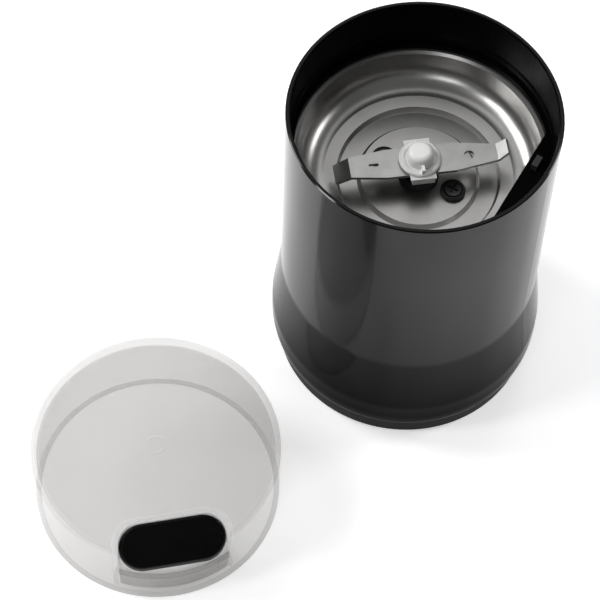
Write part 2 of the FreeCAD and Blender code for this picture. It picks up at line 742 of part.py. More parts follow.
fan = new_body("cooling_fan")
revolve(fan, "fan_disc", [
    (shaft_radius, fan_bottom), (7, fan_bottom), (7, fan_top - 1.6), (fan_radius, fan_top - 1.6),
    (fan_radius, fan_top), (shaft_radius, fan_top)])
vane = pad(fan, "fan_vane", fan_bottom, fan_top - 1, [path(
    (6.6, -0.6), (15, -1.2), (fan_radius - 0.3, 1.6), (fan_radius - 0.5, 2.8), (15, 0.2), (6.6, 0.6))])
polar(fan, "fan_vanes", vane, 10)

# Shaft and grinding blade

shaft_bottom = size("shaft_bottom", 9.6)
shaft_shoulder = size("shaft_shoulder", 101.9)
spindle_radius = size("spindle_radius", 2.4)
shaft_top = size("shaft_top", 106.2)
blade_thick = size("blade_thickness", 1.2)
fold_left = size("blade_fold_left", 22.2)
fold_right = size("blade_fold_right", 25)
tip_left = size("blade_tip_left", 27.2)
tip_right = size("blade_tip_right", 28.2)
blade_hub = size("blade_hub_half_width", 5.2)
end_left = size("blade_end_left", 3.7)
end_right = size("blade_end_right", 3)
tip_rise = size("tip_rise", 3.4)
tip_drop = size("tip_drop", 3)
cap_disc = size("cap_disc_radius", 6.8)
cap_dome = size("cap_dome_radius", 4.2)
cap_top = size("cap_top", 108.9)

shaft = new_body("motor_shaft")
revolve(shaft, "shaft_turn", [
    (0, shaft_bottom), (shaft_radius - 0.6, shaft_bottom), (shaft_radius, shaft_bottom + 0.6),
    (shaft_radius, shaft_shoulder), (spindle_radius, shaft_shoulder), (spindle_radius, shaft_top), (0, shaft_top)])

blade = new_body("grinding_blade")
low = shaft_shoulder
high = low + blade_thick
pad(blade, "blade_sheet", -(blade_hub + 1), blade_hub + 1, [path(
    (-fold_left, low), (fold_right + 0.3, low), (tip_right + 0.5, low + tip_rise),
    (tip_right - 0.5, high + tip_rise - 0.5), (fold_right - 0.3, high), (-(fold_left + 0.3), high),
    (-(tip_left + 0.4), high - tip_drop), (0.4 - tip_left, low - tip_drop + 0.2))], "XZ_Plane")
far = tip_right + 4
side = blade_hub + 3
pocket(blade, "blade_outline", low - 6, high + 6, [
    box(-far, far, -side, side),
    path((-fold_left, -end_left), (-11, -blade_hub), (11, -blade_hub), (fold_right, -end_right),
         (tip_right + 0.2, 0.5 - end_right), (tip_right + 0.2, end_right - 0.5),
         (fold_right, end_right), (11, blade_hub), (-11, blade_hub), (-fold_left, end_left),
         (-(tip_left + 0.1), end_left - 0.4), (-(tip_left + 0.1), 0.4 - end_left))])
pocket(blade, "blade_holes", low - 1, high + 1, [
    disc(0, 0, spindle_radius), disc(15.8, 0, 1.6), stadium(-14.8, 0, 3.2, 1.1)])
place(blade, blade_turn)

cap = new_body("blade_cap")
seat = high
revolve(cap, "cap_turn", [
    (spindle_radius, seat), (cap_disc - 0.4, seat), (cap_disc - 0.4, seat + 0.4), (cap_disc, seat + 0.6),
    (cap_disc, seat + 1.2), (cap_disc - 0.4, seat + 1.5), (cap_dome + 1.1, seat + 1.5),
    (cap_dome + 1, seat + 0.9), (cap_dome + 0.1, seat + 0.9), (cap_dome, cap_top - 2),
    (cap_dome - 1.6, cap_top - 0.2, 2.1), (0, cap_top), (0, shaft_top), (spindle_radius, shaft_top)])
pad(cap, "cap_feet", low - 0.9, seat + 0.5, [
    box(-3.6, 3.6, blade_hub + 0.1, 7.6), box(-3.6, 3.6, -7.6, -(blade_hub + 0.1))])
pad(cap, "cap_bridge", seat, seat + 0.5, [
    box(-4.1, 4.1, spindle_radius + 1, 7.6), box(-4.1, 4.1, -7.6, -(spindle_radius + 1))])
pad(cap, "cap_rib", seat + 0.6, cap_top - 2.2, [box(-0.5, 0.5, -(cap_disc - 0.4), 0.2 - cap_dome)])
place(cap, blade_turn)

lower_plate = size("lower_plate_z", 19)
lower_top = size("lower_plate_top", 22)
lower_hub_z = size("lower_hub_z", 8)
brush_z = size("brush_z", 28.5)
brush_half_x = size("brush_half_width", 2.9)
brush_half_z = size("brush_half_height", 2.2)
brush_length = size("brush_length", 8)
holder_end = size("holder_end", 24)
holder_start = size("holder_start", 10.5)
holder_wall = size("holder_wall", 1.2)

washers = new_body("thrust_washers")
pad(washers, "lower_washer", lower_top + 0.1, commutator_bottom, [disc(0, 0, 5), disc(0, 0, shaft_radius)])
pad(washers, "upper_washer", fan_top, hub_bottom - 0.1, [disc(0, 0, 5), disc(0, 0, shaft_radius)])

clip = new_body("retaining_clip")
pad(clip, "clip_ring", bracket_top + 0.1, bracket_top + 0.9, [disc(0, 0, 4.8), disc(0, 0, shaft_radius)])
pocket(clip, "clip_gap", bracket_top, bracket_top + 2, [box(0.5, 6, -1.4, 1.4)])

lower = new_body("lower_motor_bracket")
pad(lower, "lower_plate", lower_plate, lower_top, [disc(0, 0, plate_radius)])
pad(lower, "lower_hub", lower_hub_z, lower_top, [disc(0, 0, hub_radius)])
for number, (x, y) in enumerate(leg_spots):
    pad(lower, f"lower_lobe_{number}", lower_plate, lower_top, [disc(x, y, leg_radius + 1)])
pad(lower, "lower_legs", lower_top - 1, core_bottom, [disc(x, y, leg_radius) for x, y in leg_spots])
holder_bottom = brush_z - brush_half_z - holder_wall
holder_half = brush_half_x + holder_wall + seat_gap
pad(lower, "holder_seats", lower_top - 1, holder_bottom, [
    box(-holder_half, holder_half, 13, holder_end - 1), box(-holder_half, holder_half, 1 - holder_end, -13)])
pocket(lower, "lower_bearing_pocket", lower_top - bearing_height, lower_top + 1, [disc(0, 0, bearing_radius)])
pocket(lower, "lower_shaft_clearance", lower_hub_z + 1, lower_top, [disc(0, 0, shaft_radius + 1)])
pocket(lower, "lower_bolt_holes", lower_plate - 1, core_bottom + 1, [
    disc(x, y, bolt_radius + seat_gap) for x, y in leg_spots])
pocket(lower, "lower_vents", lower_plate - 1, lower_top + 1, [box(14, 27, -5, 5), box(-27, -14, -5, 5)])
place(lower, switch_turn)

bearing = new_body("lower_bearing")
revolve(bearing, "lower_bearing_ring", [
    (shaft_radius + run_gap, lower_top - bearing_height), (bearing_radius, lower_top - bearing_height),
    (bearing_radius, lower_top), (shaft_radius + run_gap, lower_top)])

holders = new_body("brush_holders")
item = pad(holders, "holder_block", holder_start, holder_end, [
    box(-holder_half, holder_half, holder_bottom, brush_z + brush_half_z + holder_wall)], "XZ_Plane")
channel = pocket(holders, "holder_channel", holder_start - 1, holder_end - holder_wall, [
    box(-(brush_half_x + seat_gap), brush_half_x + seat_gap, brush_z - brush_half_z - seat_gap,
        brush_z + brush_half_z + seat_gap)], "XZ_Plane")
window = pocket(holders, "holder_window", brush_z, brush_z + 6, [
    box(-1, 1, holder_start + 3, holder_end - 3)])
mirror(holders, "holder_pair", [item, channel, window], "XZ_Plane")
place(holders, switch_turn)

brush_start = commutator_radius + run_gap
brushes = new_body("carbon_brushes")
item = pad(brushes, "brush", brush_start, brush_start + brush_length, [
    box(-brush_half_x, brush_half_x, brush_z - brush_half_z, brush_z + brush_half_z)], "XZ_Plane")
mirror(brushes, "brush_pair", item, "XZ_Plane")
place(brushes, switch_turn)

springs = new_body("brush_springs")
wire = size("brush_spring_wire", 0.3)
behind = brush_start + brush_length
sketch = sketch_on(springs, "brush_spring_section", [disc(behind + wire, brush_z + 1.5, wire)], "YZ_Plane", 0)
line = sketch.addGeometry(Part.LineSegment(V(0, brush_z.value, 0), V(10, brush_z.value, 0)), True)
fix_point(sketch, line, 1, 0, brush_z)
fix_point(sketch, line, 2, 10, brush_z)
item = feature(springs, "AdditiveHelix", "brush_spring", sketch)
item.ReferenceAxis = (sketch, ["Axis0"])
item.Mode = "height-turns-angle"
length = holder_end - holder_wall - behind - wire * 2
item.Height = length.value
item.setExpression("Height", length.text)
item.Turns = 4
mirror(springs, "brush_spring_pair", item, "XZ_Plane")
place(springs, switch_turn)

bolts = new_body("motor_bolts")
for number, (x, y) in enumerate(leg_spots):
    pad(bolts, f"bolt_shank_{number}", lower_plate, core_top + 10, [disc(x, y, bolt_radius)])
    pad(bolts, f"bolt_head_{number}", lower_plate - 2.4, lower_plate, [disc(x, y, head_radius)])
place(bolts, switch_turn)

# Base cover with its damper, feet, screws, cord gland and terminal block

cover_bottom = size("cover_bottom", 1.2)
cover_top = size("cover_plate_top", 3)
cover_edge = toe_radius + size("ring_reach", 0.4)
middle_foot = size("middle_foot_radius", 8)
damper_radius = size("damper_radius", 13)
foot_circle = size("foot_circle", 33)
foot_pad = size("foot_pad_radius", 5)
locate_outer = toe_radius - wall - size("locating_gap", 0.15)
feet_angle = size("feet_angle", 75)
screw_angle = size("base_screw_angle", 30)
head_recess = size("base_head_recess", 6)

damper = new_body("motor_damper")
revolve(damper, "damper_turn", [
    (4, cover_top), (damper_radius, cover_top), (damper_radius, 12), (hub_radius, 12),
    (hub_radius, lower_hub_z), (4, lower_hub_z)])

cover = new_body("base_cover")
revolve(cover, "cover_disc", [
    (0, cover_bottom), (locate_outer - 0.2, cover_bottom), (locate_outer, toe_z - 1.6),
    (cover_edge - 1.8, toe_z - 1.6), (cover_edge - 1.6, cover_bottom), (cover_edge - 0.5, cover_bottom),
    (cover_edge, cover_bottom + 0.5), (cover_edge + 0.1, toe_z - 0.7), (cover_edge - 0.4, toe_z - 0.3),
    (toe_radius - 0.4, toe_z - 0.3), (toe_radius - 0.4, toe_z), (locate_outer, toe_z),
    (locate_outer - 0.3, base_seat_z - 0.2), (locate_outer - 1.8, base_seat_z - 0.2),
    (locate_outer - 1.8, cover_top), (damper_radius + 2.2, cover_top), (damper_radius + 2, 9.5),
    (damper_radius + seat_gap, 9.5), (damper_radius + seat_gap, cover_top), (0, cover_top)])
post_x, post_y = around(base_screw_circle, screw_angle)
item = pad(cover, "cover_post", cover_bottom, base_seat_z, [disc(post_x, post_y, base_boss_radius + seat_gap)])
hole = pocket(cover, "cover_screw_hole", cover_bottom - 1, base_seat_z + 1, [disc(post_x, post_y, through_radius)])
sink = pocket(cover, "cover_screw_sink", cover_bottom - 1, head_recess, [
    disc(post_x, post_y, head_radius + slide_gap)])
polar(cover, "cover_posts", [item, hole, sink], 3)
foot_x, foot_y = around(foot_circle, feet_angle)
recess = pocket(cover, "foot_recess", cover_bottom - 1, cover_bottom + 0.8, [
    disc(foot_x, foot_y, foot_pad + seat_gap)])
polar(cover, "foot_recesses", recess, 4)
pocket(cover, "middle_recess", cover_bottom - 1, cover_bottom + 0.8, [disc(0, 0, middle_foot + seat_gap)])
vent = pocket(cover, "cover_vent", cover_bottom - 1, cover_top + 1, [stadium(
    size("cover_vent_circle", 22), 0, size("cover_vent_length", 9), size("cover_vent_width", 2.2))])
polar(cover, "cover_vents", vent, 14)
place(cover, switch_turn)

screws = new_body("base_screws")
item = screw(screws, "base_screw", screw_radius, head_recess, base_seat_z + 6, base_screw_circle,
             head_radius, head_height)
polar(screws, "base_screw_set", item, 3)
place(screws, switch_turn + screw_angle)

feet = new_body("rubber_feet")
item = revolve(feet, "foot", [
    (foot_circle, 0), (foot_circle + foot_pad - 0.6, 0), (foot_circle + foot_pad, 0.6),
    (foot_circle + foot_pad, cover_bottom + 0.8), (foot_circle, cover_bottom + 0.8)], foot_circle)
polar(feet, "feet", item, 4)
pad(feet, "middle_foot", 0, cover_bottom + 0.8, [disc(0, 0, middle_foot)])
place(feet, switch_turn + feet_angle)

gland_bore = size("gland_bore_radius", 3.2)
gland_in = foot_radius - wall - size("gland_inset", 0.95)
gland_out = foot_radius + run_gap
gland = new_body("cord_gland")
turned_level(gland, "gland_turn", [
    (gland_in - 1.5, cord_z + gland_bore), (gland_in - 1.5, cord_z + 5.6), (gland_in, cord_z + 5.6),
    (gland_in, cord_z + cord_hole - seat_gap), (gland_out, cord_z + cord_hole - seat_gap),
    (gland_out, cord_z + 6), (gland_out + 0.85, cord_z + 5.6), (gland_out + 0.85, cord_z + gland_bore)], cord_z)
place(gland, cord_angle + switch_turn)

block = new_body("terminal_block")
pad(block, "block_body", cover_top, cover_top + 6, [box(26.6, 34.6, -8, 8)])
pocket(block, "block_screws", cover_top + 4.6, cover_top + 7, [disc(30.6, y, 1.5) for y in (-5, 0, 5)])
pocket(block, "block_entries", 26, 28.6, [disc(y, cover_top + 2.4, 1.1) for y in (-5, 0, 5)], "YZ_Plane")
place(block, cord_angle + switch_turn)

# Lid switch under the platform, worked by the sprung plunger

plunger_rest = size("plunger_arm_z", 99.2)
plunger_top = size("plunger_top", 112.3)
switch_near = slot_x - size("switch_near_offset", 1.1)
switch_far = slot_x + size("switch_far_offset", 4.7)
switch_front = size("switch_front", -11)
switch_back = size("switch_back", 9)
switch_top = size("switch_top", 96.5)
plate_clear = inner_radius - size("switch_plate_gap", 0.65)

plate = new_body("switch_bracket")
near = switch_near - size("switch_plate_margin", 0.4)
near_end = switch_screw_front - size("switch_plate_rim", 3.5)
switch_tip = size("switch_plate_tip", 0.4921)
far_end = half_chord(plate_clear, near + switch_tip)
pad(plate, "switch_plate", switch_plate_top - 2, switch_plate_top, [path(
    (near, near_end), (half_chord(plate_clear, near_end), near_end), (near + switch_tip, far_end, plate_clear),
    (near, far_end))])
pocket(plate, "switch_plate_holes", switch_plate_top - 3, switch_plate_top + 1, [
    disc(switch_screw_x, switch_screw_back, small_screw + slide_gap),
    disc(switch_screw_x, switch_screw_front, small_screw + slide_gap)])
pad(plate, "switch_fence", switch_plate_top - 1, switch_plate_top + 3, [
    box(switch_near + 1, switch_far - 1, switch_back + seat_gap, switch_back + 1)])
place(plate, switch_turn)

screws = new_body("switch_screws")
for number, y in enumerate((switch_screw_back, switch_screw_front)):
    pad(screws, f"switch_shank_{number}", switch_plate_top - 2, switch_plate_top + 7, [
        disc(switch_screw_x, y, small_screw)])
    pad(screws, f"switch_head_{number}", switch_plate_top - 3.4, switch_plate_top - 2, [
        disc(switch_screw_x, y, 2)])
place(screws, switch_turn)

switch = new_body("microswitch")
pad(switch, "switch_case", switch_plate_top, switch_top, [box(switch_near, switch_far, switch_front, switch_back)])
pad(switch, "switch_button", switch_top - 1, switch_top + 0.2, [box(slot_x + 0.7, slot_x + 2.7, 2, 5)])
place(switch, switch_turn)

terminals = new_body("switch_terminals")
for number, z in enumerate((88, 91, 94)):
    pad(terminals, f"terminal_{number}", z, z + 0.8, [box(slot_x + 1.5, slot_x + 3.5, switch_front - 2.2, switch_front)])
place(terminals, switch_turn)

plunger = new_body("interlock_plunger")
pad(plunger, "plunger_blade", plunger_rest, plunger_top, [centred(slot_x, slot_y, plunger_width, plunger_length)])
pad(plunger, "plunger_arm", plunger_rest, plunger_rest + 3, [
    box(slot_x - plunger_width / 2, slot_x + plunger_width / 2 + 1, 2, slot_y + plunger_length / 2)])
place(plunger, switch_turn)

spring = new_body("plunger_spring")
coil_spring(spring, "plunger_spring_coil", slot_x, slot_y, 1.3, 0.25, switch_plate_top, plunger_rest, 5)
place(spring, switch_turn)

# Clear lid with its press button, standing on the floor beside the body

lid_foot = inner_radius - size("lid_gap", 0.15)
lid_radius = lid_foot + size("lid_draft", 0.2)
lid_height = size("lid_height", 30)
lid_wall = size("lid_wall", 1.9)
lid_roof = size("lid_roof", 2.2)
lid_edge = size("lid_edge_radius", 1.8)
notch_chord = slot_x - size("notch_inset", 8.5)
notch_half = size("notch_half_width", 18.2)
notch_floor = size("notch_floor", 14.4)
fence = size("notch_wall", 1.6)
pad_tilt = size("button_tilt", 40.2)
pad_near = notch_chord + size("button_inset", 0.9)
pad_length = (notch_half - size("button_side_gap", 0.7)) * 2
pad_width = size("button_width", 15.7)
pad_round = size("button_edge_radius", 1.1)
notch_corner = size("notch_corner_radius", 7)
pad_thick = size("button_thickness", 2)
slider_gap = size("slider_gap", 0.4)
slider_near = notch_chord + size("slider_inset", 0.6)
slider_front = lid_foot - size("slider_front_inset", 2.2)
slider_bottom = size("slider_bottom", 5.2)
foot_bottom = size("slider_foot_z", 2.6)
slider_roof = size("slider_roof", 15)
skirt_inner = slider_front - size("slider_skirt", 1.7)
retainer_bottom = size("retainer_bottom", 1.4)
retainer_top = size("retainer_top", 2.5)
plate_half = size("retainer_half_width", 16)
lid_spring_x = slot_x - size("spring_inset", 3.1)
lid_spring_y = size("lid_spring_y", 6.5)

lid = new_body("lid_shell")
revolve(lid, "lid_cup", [
    (lid_foot, 0), (lid_radius, lid_height - lid_edge), (lid_radius - lid_edge, lid_height, lid_edge),
    (0, lid_height), (0, lid_height - lid_roof), (lid_radius - lid_wall - 1, lid_height - lid_roof),
    (lid_radius - lid_wall, lid_height - lid_roof - 1), (lid_foot - lid_wall, 0)])
pocket(lid, "button_notch", notch_floor, lid_height + 1, [
    slot_end(notch_chord, lid_radius + 5, notch_half, notch_corner)])
roof = lid_height - lid_roof
fence_out = notch_half + fence
fence_reach = half_chord(lid_radius - 0.9, fence_out)
turn_x = notch_chord + notch_corner
turn_y = notch_half - notch_corner
pad(lid, "notch_walls", retainer_bottom, roof + 0.5, [path(
    (turn_x, -fence_out, notch_corner + fence), (fence_reach, -fence_out), (fence_reach, -notch_half),
    (turn_x, -notch_half), (notch_chord, -turn_y, -notch_corner), (notch_chord, turn_y),
    (turn_x, notch_half, -notch_corner), (fence_reach, notch_half), (fence_reach, fence_out),
    (turn_x, fence_out), (notch_chord - fence, turn_y, notch_corner + fence),
    (notch_chord - fence, -turn_y))])
pocket(lid, "gate_mark", lid_height - 0.3, lid_height + 1, [disc(0, 0, 3.2), disc(0, 0, 2.8)])
place(lid, lid_turn, lid_x, lid_y)

button = new_body("button_pad")
slope = tangent(pad_tilt)
sketch = sketch_on(button, "button_outline", [
    stadium(0, 0, pad_length, pad_width)], "XY_Plane", 0)
half_run = Size(pad_width.value / 2 * math.cos(math.radians(pad_tilt.value)),
                f"({pad_width.text} / 2 * cos({pad_tilt.text} * 1 deg))")
middle = pad_near + half_run
middle_z = lid_height - slope * half_run
turn = FreeCAD.Rotation(V(0, 1, 0), pad_tilt.value).multiply(FreeCAD.Rotation(UP, 90))
sketch.AttachmentOffset = FreeCAD.Placement(V(middle.value, 0, middle_z.value), turn)
sketch.setExpression("AttachmentOffset.Base.x", middle.text)
sketch.setExpression("AttachmentOffset.Base.z", middle_z.text)
sketch.setExpression("AttachmentOffset.Rotation.Yaw", "90 deg")
top = feature(button, "Pad", "button_top", sketch)
top.Type = "Length"
top.UseCustomVector = True
top.Direction = V(0, 0, -1)
top.AlongSketchNormal = False
top.Length = pad_thick.value
top.setExpression("Length", pad_thick.text)
tilt_way = V(math.sin(math.radians(pad_tilt.value)), 0, math.cos(math.radians(pad_tilt.value)))
start = V(middle.value, 0, middle_z.value)
round_edges(button, "button_soft_edge", top, pad_round,
            lambda edge: all(abs((v.Point - start).dot(tilt_way)) < 0.01 for v in edge.Vertexes))
place(button, lid_turn, lid_x, lid_y)

slider = new_body("button_slider")
half = notch_half - slider_gap
arm = half_chord(slider_front, half)
slider_corner = notch_corner - slider_gap
pad(slider, "slider_block", slider_bottom, lid_height + 4, [path(
    (slider_near + slider_corner, -half, slider_corner), (arm, -half), (arm, half, slider_front),
    (slider_near + slider_corner, half), (slider_near, half - slider_corner, slider_corner),
    (slider_near, slider_corner - half))])
rise = lid_height - pad_thick + slope * (pad_near - slider_near + 2)
fall = lid_height - pad_thick - slope * (45 - pad_near)
pocket(slider, "slider_slope", -25, 25, [path(
    (slider_near - 2, rise), (45, fall), (45, lid_height + 10), (slider_near - 2, lid_height + 10))], "XZ_Plane")
pocket(slider, "slider_cavity", slider_bottom - 1, slider_roof, [
    slot_end(slider_near + 1.6, slot_x - seat_gap, half - 3.2, slider_corner - 1.6)])
inner_arm = half_chord(skirt_inner, half)
pad(slider, "slider_skirt", foot_bottom, slider_bottom + 1, [path(
    (arm, -half), (arm, half, slider_front), (inner_arm, half), (inner_arm, -half, -skirt_inner))])
pad(slider, "slider_foot", foot_bottom, slider_roof + 1, [
    box(slot_x - 1.1, skirt_inner - 1, slot_y - plunger_length / 2, slot_y + plunger_length / 2)])
place(slider, lid_turn, lid_x, lid_y)

retainer = new_body("lid_retainer")
reach = half_chord(skirt_inner - slide_gap, plate_half)
corner_x = turn_x - half_chord(notch_corner, plate_half - turn_y)
pad(retainer, "retainer_plate", retainer_bottom, retainer_top, [path(
    (corner_x, -plate_half, notch_corner), (reach, -plate_half), (reach, plate_half, skirt_inner - slide_gap),
    (corner_x, plate_half), (notch_chord, turn_y, notch_corner), (notch_chord, -turn_y))])
pocket(retainer, "foot_window", retainer_bottom - 1, retainer_top + 1, [
    box(slot_x - 1.6, 41, slot_y - plunger_length / 2 - 0.5, slot_y + plunger_length / 2 + 0.5)])
place(retainer, lid_turn, lid_x, lid_y)

springs = new_body("button_springs")
item = coil_spring(springs, "button_spring", lid_spring_x, lid_spring_y, 2.2, 0.35, retainer_top, slider_roof, 4)
mirror(springs, "button_spring_pair", item, "XZ_Plane")
place(springs, lid_turn, lid_x, lid_y)

# Checks and files

doc.recompute()
for item in doc.Objects:
    if "Invalid" in item.State or "Error" in item.State:
        raise ValueError(f"{item.Name}: {item.State}")
for item in pieces:
    if item.Shape.isNull() or not item.Shape.isValid():
        raise ValueError(f"{item.Label} has no valid shape")
    item.Shape.exportStep(f"parts/{item.Label}.step")
print(len(pieces), "pieces,", sum(len(item.Shape.Solids) for item in pieces), "solids")
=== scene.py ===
import bpy
import json
import math
from mathutils import Matrix, Vector

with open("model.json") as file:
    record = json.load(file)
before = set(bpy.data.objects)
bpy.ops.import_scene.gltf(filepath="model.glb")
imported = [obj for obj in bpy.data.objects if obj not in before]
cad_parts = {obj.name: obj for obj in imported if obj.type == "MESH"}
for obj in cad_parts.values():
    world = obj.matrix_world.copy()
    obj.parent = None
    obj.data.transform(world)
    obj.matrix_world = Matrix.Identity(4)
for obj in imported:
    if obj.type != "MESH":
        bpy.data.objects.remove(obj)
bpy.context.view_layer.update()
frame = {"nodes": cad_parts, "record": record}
nodes = frame["nodes"]

# Camera: looks down about 60 degrees from the front with a long lens.
camera = bpy.data.objects.new("camera", bpy.data.cameras.new("camera"))
bpy.context.scene.collection.objects.link(camera)
roll = math.radians(2.6326)
pitch = math.radians(59.7143)
level = Vector((1, 0, 0))
lift = Vector((0, math.sin(pitch), math.cos(pitch)))
right = level * math.cos(roll) + lift * math.sin(roll)
up = lift * math.cos(roll) - level * math.sin(roll)
back = right.cross(up)
turn = Matrix((right, up, back)).transposed()
place = Matrix.Translation((-0.035773, -0.469016, 0.815323))
camera.matrix_world = place @ turn.to_4x4()
camera.data.lens = 162
camera.data.sensor_width = 36
camera.data.clip_start = 0.01
bpy.context.scene.camera = camera
bpy.context.scene.view_settings.view_transform = "Standard"

# What most of a noise lies between, the light of the white floor, and sizes in millimetres:
# the radii from the satin collar to the polished outside, the heights over which the painted
# shade at the foot gives way to full shine, and the front and back of the lid's painted shade.
NOISE_LOW = 0.3
NOISE_HIGH = 0.7
FLOOR_GLOW = 0.45
COLLAR_TO_OUTSIDE = (41.4, 42.2)
FOOT_SHADE_HEIGHTS = (12, 95)
LID_FRONT_TO_BACK = (-108.4, -26.4)


class Nodes:
    """A material's node tree, with short calls for adding and joining nodes."""

    def __init__(self, name):
        self.material = bpy.data.materials.new(name)
        self.material.use_nodes = True
        self.tree = self.material.node_tree
        self.shader = self.tree.nodes["Principled BSDF"]

    def add(self, kind, **values):
        node = self.tree.nodes.new("ShaderNode" + kind)
        for key, value in values.items():
            setattr(node, key, value)
        return node

    def join(self, source, target):
        self.tree.links.new(source, target)

    def feed(self, value, target):
        """Joins a socket to an input, or sets the input to a value."""
        if isinstance(value, bpy.types.NodeSocket):
            self.join(value, target)
        else:
            target.default_value = value

    def math(self, operation, *values):
        """One sum of sockets and numbers."""
        node = self.add("Math", operation=operation)
        for slot, value in enumerate(values):
            self.feed(value, node.inputs[slot])
        return node.outputs[0]

    def axes(self, vector):
        """The X, Y and Z sockets of a vector."""
        split = self.add("SeparateXYZ")
        self.join(vector, split.inputs[0])
        return split.outputs

    def position(self):
        """Object position in millimetres."""
        place = self.add("TexCoord")
        scale = self.add("VectorMath", operation="SCALE")
        scale.inputs["Scale"].default_value = 1000
        self.join(place.outputs["Object"], scale.inputs[0])
        return scale.outputs[0]

    def noise(self, size, detail=2.0, stretch=None):
        """Noise with features of that size in millimetres."""
        where = self.position()
        if stretch:
            squeeze = self.add("VectorMath", operation="MULTIPLY")
            squeeze.inputs[1].default_value = stretch
            self.join(where, squeeze.inputs[0])
            where = squeeze.outputs[0]
        node = self.add("TexNoise")
        node.inputs["Scale"].default_value = 1 / size
        node.inputs["Detail"].default_value = detail
        self.join(where, node.inputs["Vector"])
        return node.outputs["Fac"]

    def ramp(self, source, start, end, low, high):
        """Maps start to end onto low to high, and holds the value past both."""
        node = self.add("MapRange")
        self.join(source, node.inputs["Value"])
        for name, value in (("From Min", start), ("From Max", end), ("To Min", low), ("To Max", high)):
            self.feed(value, node.inputs[name])
        return node.outputs["Result"]

    def spread(self, source, low, high):
        """Maps the usual reach of a noise onto low to high."""
        return self.ramp(source, NOISE_LOW, NOISE_HIGH, low, high)

    def tint(self, source, dark, light):
        """A colour between two, by a value."""
        node = self.add("ValToRGB")
        ends = node.color_ramp.elements
        for end, position, colour in ((ends[0], NOISE_LOW, dark), (ends[1], NOISE_HIGH, light)):
            end.position = position
            end.color = (*colour, 1)
        self.join(source, node.inputs["Fac"])
        self.join(node.outputs["Color"], self.shader.inputs["Base Color"])

    def bump(self, source, strength, distance):
        node = self.add("Bump")
        node.inputs["Strength"].default_value = strength
        node.inputs["Distance"].default_value = distance
        self.join(source, node.inputs["Height"])
        self.join(node.outputs["Normal"], self.shader.inputs["Normal"])

    def set(self, **values):
        """Sets or joins shader inputs, named in small letters."""
        for key, value in values.items():
            name = key.replace("_", " ").title().replace("Ior", "IOR")
            self.feed(value, self.shader.inputs[name])


def plastic(name, dark, light, rough, grain=0.5, bump=0.15, coat=0.0, shine=0.5):
    m = Nodes(name)
    fine = m.noise(grain)
    m.tint(m.noise(9.0), dark, light)
    m.bump(fine, bump, 0.00008)
    m.set(metallic=0.0, roughness=m.spread(fine, rough - 0.04, rough + 0.06),
          coat_weight=coat, coat_roughness=0.06, specular_ior_level=shine)
    return m.material


def metal(name, dark, light, rough, grain=0.4, stretch=None, bump=0.12):
    m = Nodes(name)
    marks = m.noise(grain, 3.0, stretch)
    m.tint(m.noise(6.0), dark, light)
    m.bump(marks, bump, 0.00005)
    m.set(metallic=1.0, roughness=m.spread(marks, rough - 0.05, rough + 0.08))
    return m.material


def around_axis(m):
    """Distance from the vertical axis, and height, as one pattern place."""
    spot = m.axes(m.position())
    flat = m.add("CombineXYZ")
    m.join(spot[0], flat.inputs[0])
    m.join(spot[1], flat.inputs[1])
    reach = m.add("VectorMath", operation="LENGTH")
    m.join(flat.outputs[0], reach.inputs[0])
    ring = m.add("CombineXYZ")
    m.join(reach.outputs["Value"], ring.inputs[0])
    m.join(spot[2], ring.inputs[1])
    return ring.outputs[0]


def gloss_black():
    """Black moulding, satin inside the collar and polished outside; its shine is turned down towards
    the foot as painted shade, for the shadowed floor that the foot reflects.
    """
    m = Nodes("gloss_black_polished")
    m.tint(m.noise(0.6), (0.0012, 0.0012, 0.0013), (0.0020, 0.0020, 0.0022))
    m.bump(m.noise(30.0, 1.0, (1, 1, 0.35)), 0.30, 0.0012)
    reach, height = m.axes(around_axis(m))[:2]
    shine = m.ramp(reach, *COLLAR_TO_OUTSIDE, 0.012, 0.22)
    # Towards the foot the shine fades: painted shade, standing in for the shadowed floor reflected
    # there.
    m.set(metallic=0.0, roughness=m.ramp(reach, *COLLAR_TO_OUTSIDE, 0.20, 0.11),
          specular_ior_level=m.math("MULTIPLY", shine, m.ramp(height, *FOOT_SHADE_HEIGHTS, 0.04, 1)))
    return m.material


def spun_steel():
    """Pressed and polished sheet with fine rings about the axis."""
    m = Nodes("bowl_steel_spun")
    rings = m.add("TexNoise")
    rings.inputs["Scale"].default_value = 2.2
    rings.inputs["Detail"].default_value = 4
    m.join(around_axis(m), rings.inputs["Vector"])
    m.tint(m.noise(14.0), (0.40, 0.396, 0.388), (0.47, 0.466, 0.458))
    m.bump(rings.outputs["Fac"], 0.012, 0.00005)
    m.set(metallic=1.0, roughness=m.spread(rings.outputs["Fac"], 0.29, 0.32))
    return m.material


def clear_plastic():
    """Thin clear moulding drawn as a grey veil: painted shade for the shadowed floor seen through the
    lid, densest on the roof and front walls and thinner at the back, with painted dark lines at its
    turned edges.
    """
    m = Nodes("clear_plastic_lid")
    turned = m.add("LayerWeight")
    turned.inputs["Blend"].default_value = 0.5
    level = m.math("ABSOLUTE", m.axes(m.add("NewGeometry").outputs["Normal"])[2])
    # Painted shade: the grey veil stands in for the shadowed floor under the lid, dense on the roof
    # and front walls, thin at the back where the lit floor shows.
    wall_shade = m.ramp(m.axes(m.position())[1], *LID_FRONT_TO_BACK, 0.30, 0.06)
    veil = m.ramp(level, 0, 1, wall_shade, 0.40)
    # Painted dark edge lines where the clear moulding turns away from view.
    edge_shade = m.math("POWER", turned.outputs["Facing"], 6.0)
    m.tint(m.noise(22.0), (0.44, 0.420, 0.410), (0.48, 0.460, 0.450))
    m.set(metallic=0.0, roughness=m.spread(m.noise(3.0), 0.10, 0.15),
          alpha=m.math("MULTIPLY_ADD", edge_shade, 0.22, veil), specular_ior_level=0.35)
    return m.material


